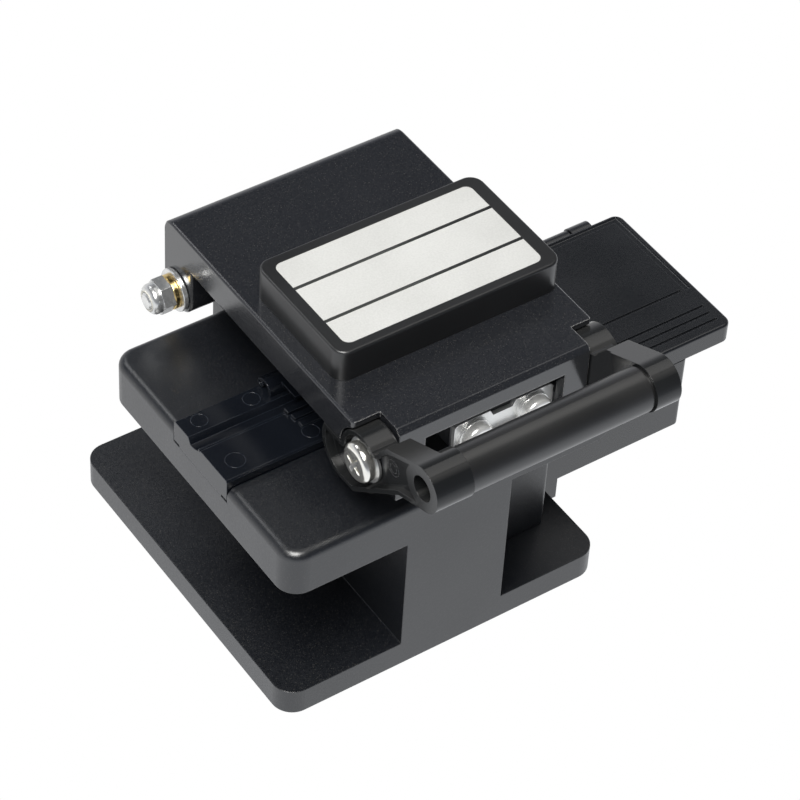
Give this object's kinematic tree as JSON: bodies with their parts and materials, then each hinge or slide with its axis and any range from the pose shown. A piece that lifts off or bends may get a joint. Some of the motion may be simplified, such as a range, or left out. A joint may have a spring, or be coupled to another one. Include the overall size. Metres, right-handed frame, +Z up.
{
  "type": "fibre cleaver",
  "caption": "Bench-top optical fibre cleaver: C-shaped body, hinged lid with press lever and bare label, sliding blade carriage, fibre adapter and side scrap box with flip lid.",
  "frame": {"origin": "centre of the base plate's flat underside", "axes": "+X to the right along the fibre, towards the scrap box; +Y from the lever at the front to the lid hinge at the rear; +Z up"},
  "size_m": [0.1024, 0.0831, 0.0631],
  "materials": {
    "body_paint": "satin black, fine grain",
    "lid_paint": "satin black, fine grain",
    "black_plastic": "matte black moulding",
    "adapter_plastic": "glossy black moulding",
    "rubber_black": "matte",
    "steel": "brushed",
    "chrome_screw": "bright plated",
    "zinc": "zinc plated",
    "brass": "bright",
    "label_silver": "satin, bare",
    "carbide": "ground",
    "grip_gloss": "gloss black"
  },
  "bodies": {
    "body": {"body_frame": "body_paint", "base_pad": "rubber_black", "lower_clamp_left": "steel", "lower_clamp_right": "steel", "lower_pad_left": "rubber_black", "lower_pad_right": "rubber_black", "lid_magnet": "zinc", "fibre_adapter": "adapter_plastic", "clip_pin": "steel", "hinge_shaft": "zinc", "hinge_flat_washers": "zinc", "hinge_brass_washer": "brass", "hinge_nut": "zinc", "guide_channel": "steel", "collector_box": "black_plastic", "collector_screws": "zinc", "flap_pin": "steel"},
    "clip": {"fibre_clip": "adapter_plastic"},
    "lid": {"lid_shell": "lid_paint", "label_cap": "black_plastic", "label_plate": "label_silver", "magnet_keeper": "steel", "anvil_mount": "body_paint", "anvil_plate": "steel", "plate_screws": "chrome_screw", "spring_washers": "zinc", "anvil_bracket": "steel", "anvil_pin": "steel", "pivot_screw_left": "chrome_screw", "pivot_screw_right": "chrome_screw", "pivot_washer_left": "zinc", "pivot_washer_right": "zinc", "clamp_spring_left": "steel", "clamp_spring_right": "steel"},
    "clamp_left": {"upper_clamp_left": "steel", "upper_pad_left": "rubber_black"},
    "clamp_right": {"upper_clamp_right": "steel", "upper_pad_right": "rubber_black"},
    "anvil": {"anvil_arm": "steel", "anvil_tip": "rubber_black"},
    "lever": {"lever_arm_left": "black_plastic", "lever_arm_right": "black_plastic", "lever_bar": "grip_gloss", "lever_tie_screw": "zinc"},
    "carriage": {"carriage_block": "body_paint", "slide_bar": "steel", "blade_axle": "steel", "height_screw": "zinc"},
    "blade": {"cleaving_blade": "carbide", "blade_clamp_disc": "steel"},
    "collector_lid": {"collector_flap": "black_plastic"}
  },
  "joints": [
    {"name": "lid_hinge", "type": "hinge", "parent": "body", "child": "lid", "pos_m": [0.00495, 0.0234, 0.0442], "axis": [-1, 0, 0], "range_deg": [0, 85]},
    {"name": "lever_pivot", "type": "hinge", "parent": "lid", "child": "lever", "pos_m": [0.00495, -0.0304, 0.0507], "axis": [-1, 0, 0], "range_deg": [0, 50]},
    {"name": "anvil_pivot", "type": "hinge", "parent": "lid", "child": "anvil", "pos_m": [0.0154, -0.0247, 0.0431], "axis": [-1, 0, 0], "range_deg": [0, 2.2]},
    {"name": "clamp_left_slide", "type": "slide", "parent": "lid", "child": "clamp_left", "axis": [0, 0, 1], "range_m": [0, 0.0008], "stiffness_N_per_m": 400, "springref_m": -0.002, "deforming": ["clamp_spring_left"]},
    {"name": "clamp_right_slide", "type": "slide", "parent": "lid", "child": "clamp_right", "axis": [0, 0, 1], "range_m": [0, 0.0008], "stiffness_N_per_m": 400, "springref_m": -0.002, "deforming": ["clamp_spring_right"]},
    {"name": "carriage_slide", "type": "slide", "parent": "body", "child": "carriage", "axis": [0, 1, 0], "range_m": [-0.0066, 0.0174]},
    {"name": "blade_turn", "type": "hinge", "parent": "carriage", "child": "blade", "pos_m": [0.0159, -0.0114, 0.0306], "axis": [1, 0, 0], "continuous": true},
    {"name": "collector_lid_hinge", "type": "hinge", "parent": "body", "child": "collector_lid", "pos_m": [0.0495, 0.0184, 0.0224], "axis": [-1, 0, 0], "range_deg": [0, 105]},
    {"name": "fibre_clip_hinge", "type": "hinge", "parent": "body", "child": "clip", "pos_m": [-0.0101, 0.00125, 0.04015], "axis": [-1, 0, 0], "range_deg": [0, 80]}
  ],
  "couplings": [
    {"joint": "anvil_pivot", "follows": "lever_pivot", "ratio": 0.044}
  ]
}
